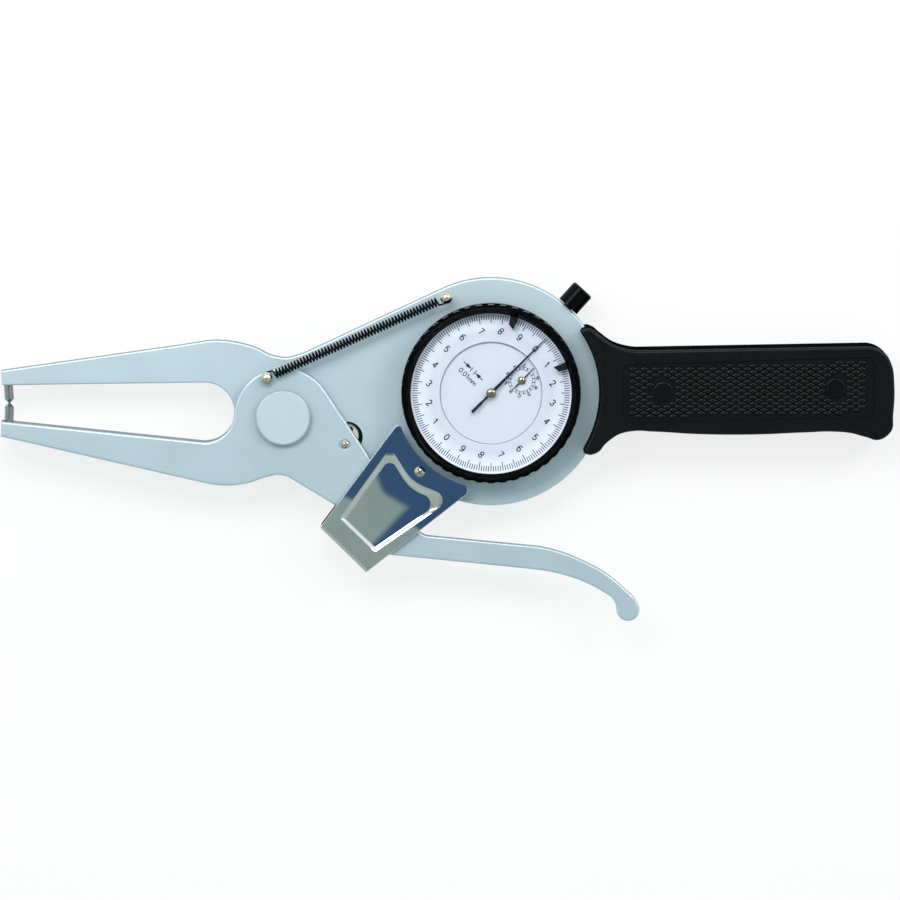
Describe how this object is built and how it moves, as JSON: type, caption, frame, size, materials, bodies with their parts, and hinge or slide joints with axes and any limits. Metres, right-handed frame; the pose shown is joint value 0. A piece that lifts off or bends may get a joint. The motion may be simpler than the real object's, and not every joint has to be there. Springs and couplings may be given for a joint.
{
  "type": "dial caliper gauge",
  "caption": "Outside dial caliper gauge with long jaws, a squeeze lever, a return spring and a round dial.",
  "frame": {"origin": "centre of the box's base: the gauge lies on its back, z = 0 at the back cover's face", "axes": "+X from the jaw tips to the handle, +Y towards the fixed jaw, +Z out of the dial"},
  "size_m": [0.2974, 0.1144, 0.0257],
  "materials": {
    "body_metal": "satin matt, pale blue grey, with bright machined edges",
    "jaw_metal": "satin matt, pale blue grey, with bright machined edges",
    "cap_metal": "satin turned",
    "case_metal": "turned",
    "cover_metal": "satin matt",
    "hard_steel": "ground",
    "bright_steel": "bright plated",
    "guard_steel": "polished sheet with fine draw lines",
    "brass": "machined",
    "spring_bronze": "drawn strip",
    "spring_black": "blackened wire",
    "ruby": "polished",
    "dial_white": "matt white with black print",
    "pointer_black": "blue black, satin",
    "limit_black": "satin black",
    "bezel_black": "glossy black",
    "knob_black": "glossy black",
    "crystal": "clear",
    "rubber": "matt",
    "washer_plastic": "matt",
    "handle_plastic": "moulded, satin",
    "plug_plastic": "moulded, semi-gloss"
  },
  "bodies": {
    "body": {"body_plate": "body_metal", "upper_contact_pin": "hard_steel", "pivot_shaft": "hard_steel", "pivot_cap": "cap_metal", "pivot_nut": "bright_steel", "pivot_spacer": "bright_steel", "glide_washer": "washer_plastic", "window_insert": "washer_plastic", "window_ring": "plug_plastic", "hairspring": "spring_bronze", "movement_back_plate": "brass", "movement_front_plate": "brass", "jewel_bearings": "ruby", "movement_pillars": "brass", "movement_screws": "bright_steel", "movement_case": "case_metal", "case_screws": "bright_steel", "inner_dial": "dial_white", "lever_guard": "guard_steel", "guard_screw": "bright_steel", "guard_standoff": "bright_steel", "guard_nut": "bright_steel", "handle_front": "handle_plastic", "handle_back": "handle_plastic", "handle_screws": "bright_steel", "handle_inserts": "brass", "handle_front_plugs": "plug_plastic", "handle_back_plugs": "plug_plastic", "back_cover": "cover_metal", "back_cover_screws": "bright_steel", "body_spring_post": "bright_steel"},
    "moving_jaw": {"moving_jaw_plate": "jaw_metal", "lower_contact_pin": "hard_steel", "jaw_bush": "brass", "sector_bush": "brass", "drive_pin": "bright_steel", "sector_arm": "brass", "jaw_spring_post": "bright_steel"},
    "counter_wheel": {"counter_arbor": "brass", "counter_pointer": "pointer_black", "counter_pointer_cap": "brass"},
    "centre_wheel": {"centre_arbor": "hard_steel", "main_pointer": "pointer_black", "main_pointer_cap": "brass"},
    "takeup": {"takeup_wheel": "brass"},
    "bezel": {"bezel_ring": "bezel_black", "crystal": "crystal", "crystal_gasket": "rubber", "scale_ring": "dial_white", "bezel_snap_ring": "bright_steel"},
    "upper_limit": {"limit_hand_upper": "limit_black"},
    "lower_limit": {"limit_hand_lower": "limit_black"},
    "clamp_pad": {"brake_pad": "brass"},
    "clamp_screw": {"clamp_knob": "knob_black"},
    "spring_body": {"return_spring": "spring_black"},
    "spring_jaw_end": {"spring_bush": "bright_steel"}
  },
  "joints": [
    {"name": "jaw_pivot", "type": "hinge", "parent": "body", "child": "moving_jaw", "pos_m": [-0.0545, 0.0109, 0.0145], "axis": [0, 0, 1], "range_deg": [0, 12.63], "stiffness_Nm_per_rad": 0.21, "springref_deg": -37.24},
    {"name": "counter_spin", "type": "hinge", "parent": "body", "child": "counter_wheel", "pos_m": [0.02479, 0.02333, 0], "axis": [0, 0, 1], "range_deg": [0, 360]},
    {"name": "main_pointer_spin", "type": "hinge", "parent": "body", "child": "centre_wheel", "pos_m": [0.0146, 0.0192, 0], "axis": [0, 0, 1], "range_deg": [-3600, 0]},
    {"name": "takeup_spin", "type": "hinge", "parent": "body", "child": "takeup", "pos_m": [0.00441, 0.01507, 0], "axis": [0, 0, 1], "range_deg": [0, 360], "deforming": ["hairspring"]},
    {"name": "bezel_turn", "type": "hinge", "parent": "body", "child": "bezel", "pos_m": [0.0146, 0.0192, 0], "axis": [0, 0, 1], "continuous": true},
    {"name": "upper_limit_turn", "type": "hinge", "parent": "bezel", "child": "upper_limit", "pos_m": [0.0146, 0.0192, 0], "axis": [0, 0, 1], "range_deg": [-18, 120]},
    {"name": "lower_limit_turn", "type": "hinge", "parent": "bezel", "child": "lower_limit", "pos_m": [0.0146, 0.0192, 0], "axis": [0, 0, 1], "range_deg": [-120, 18]},
    {"name": "clamp_advance", "type": "slide", "parent": "body", "child": "clamp_pad", "axis": [-0.6704, -0.742, 0], "range_m": [0, 0.00025]},
    {"name": "clamp_turn", "type": "hinge", "parent": "clamp_pad", "child": "clamp_screw", "pos_m": [0.04008, 0.0474, 0.0116], "axis": [-0.6704, -0.742, 0], "range_deg": [0, 180]},
    {"name": "spring_swing", "type": "hinge", "parent": "body", "child": "spring_body", "pos_m": [-0.00025, 0.05097, 0.0196], "axis": [0, 0, 1], "range_deg": [0, 0.24]},
    {"name": "spring_stretch", "type": "slide", "parent": "spring_body", "child": "spring_jaw_end", "axis": [-0.9129, -0.4082, 0], "range_m": [0, 0.0033], "deforming": ["return_spring"]}
  ],
  "couplings": [
    {"joint": "counter_spin", "follows": "jaw_pivot", "ratio": 28.5},
    {"joint": "main_pointer_spin", "follows": "jaw_pivot", "ratio": -285},
    {"joint": "takeup_spin", "follows": "jaw_pivot", "ratio": 28.5},
    {"joint": "clamp_turn", "follows": "clamp_advance", "rad_per_m": 12566},
    {"joint": "spring_swing", "follows": "jaw_pivot", "ratio": 0.01208},
    {"joint": "spring_stretch", "follows": "jaw_pivot", "m_per_rad": 0.014396}
  ]
}
